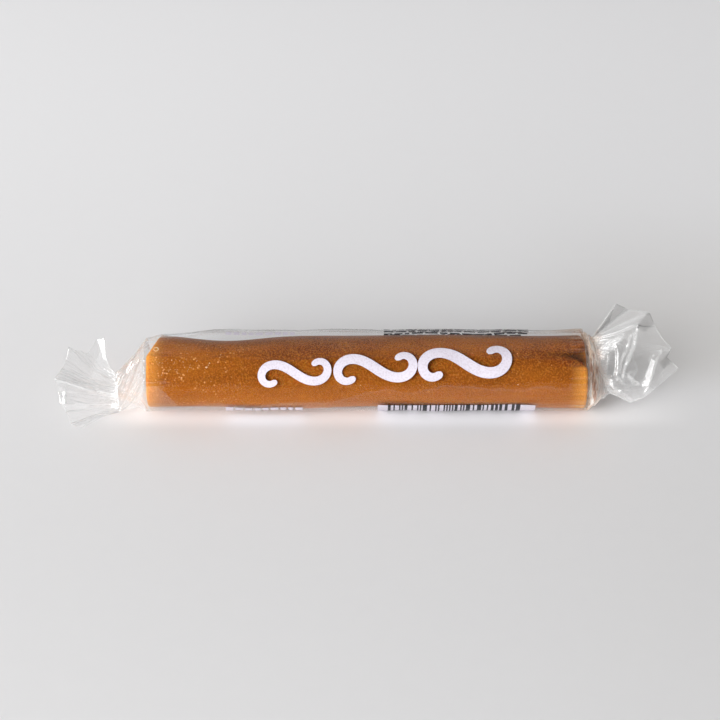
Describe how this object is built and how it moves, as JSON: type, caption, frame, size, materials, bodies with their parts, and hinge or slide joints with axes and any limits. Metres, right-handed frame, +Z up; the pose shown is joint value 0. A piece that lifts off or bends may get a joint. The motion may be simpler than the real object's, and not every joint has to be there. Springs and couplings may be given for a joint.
{
  "type": "twist wrapped caramel stick",
  "caption": "Soft caramel stick in a clear film wrapper, twisted and fanned out at both ends, lying on its side.",
  "frame": {"origin": "on the surface it lies on, under the middle of its length", "axes": "+X along the stick towards the end whose fan stands up, +Y away from the viewer of the picture, +Z up"},
  "size_m": [0.1164, 0.0205, 0.0148],
  "materials": {
    "caramel": "soft satin sugar, glossy where the film touches it",
    "film": "clear gloss film"
  },
  "bodies": {
    "root": {"caramel": "caramel", "wrapper": "film"}
  },
  "joints": []
}
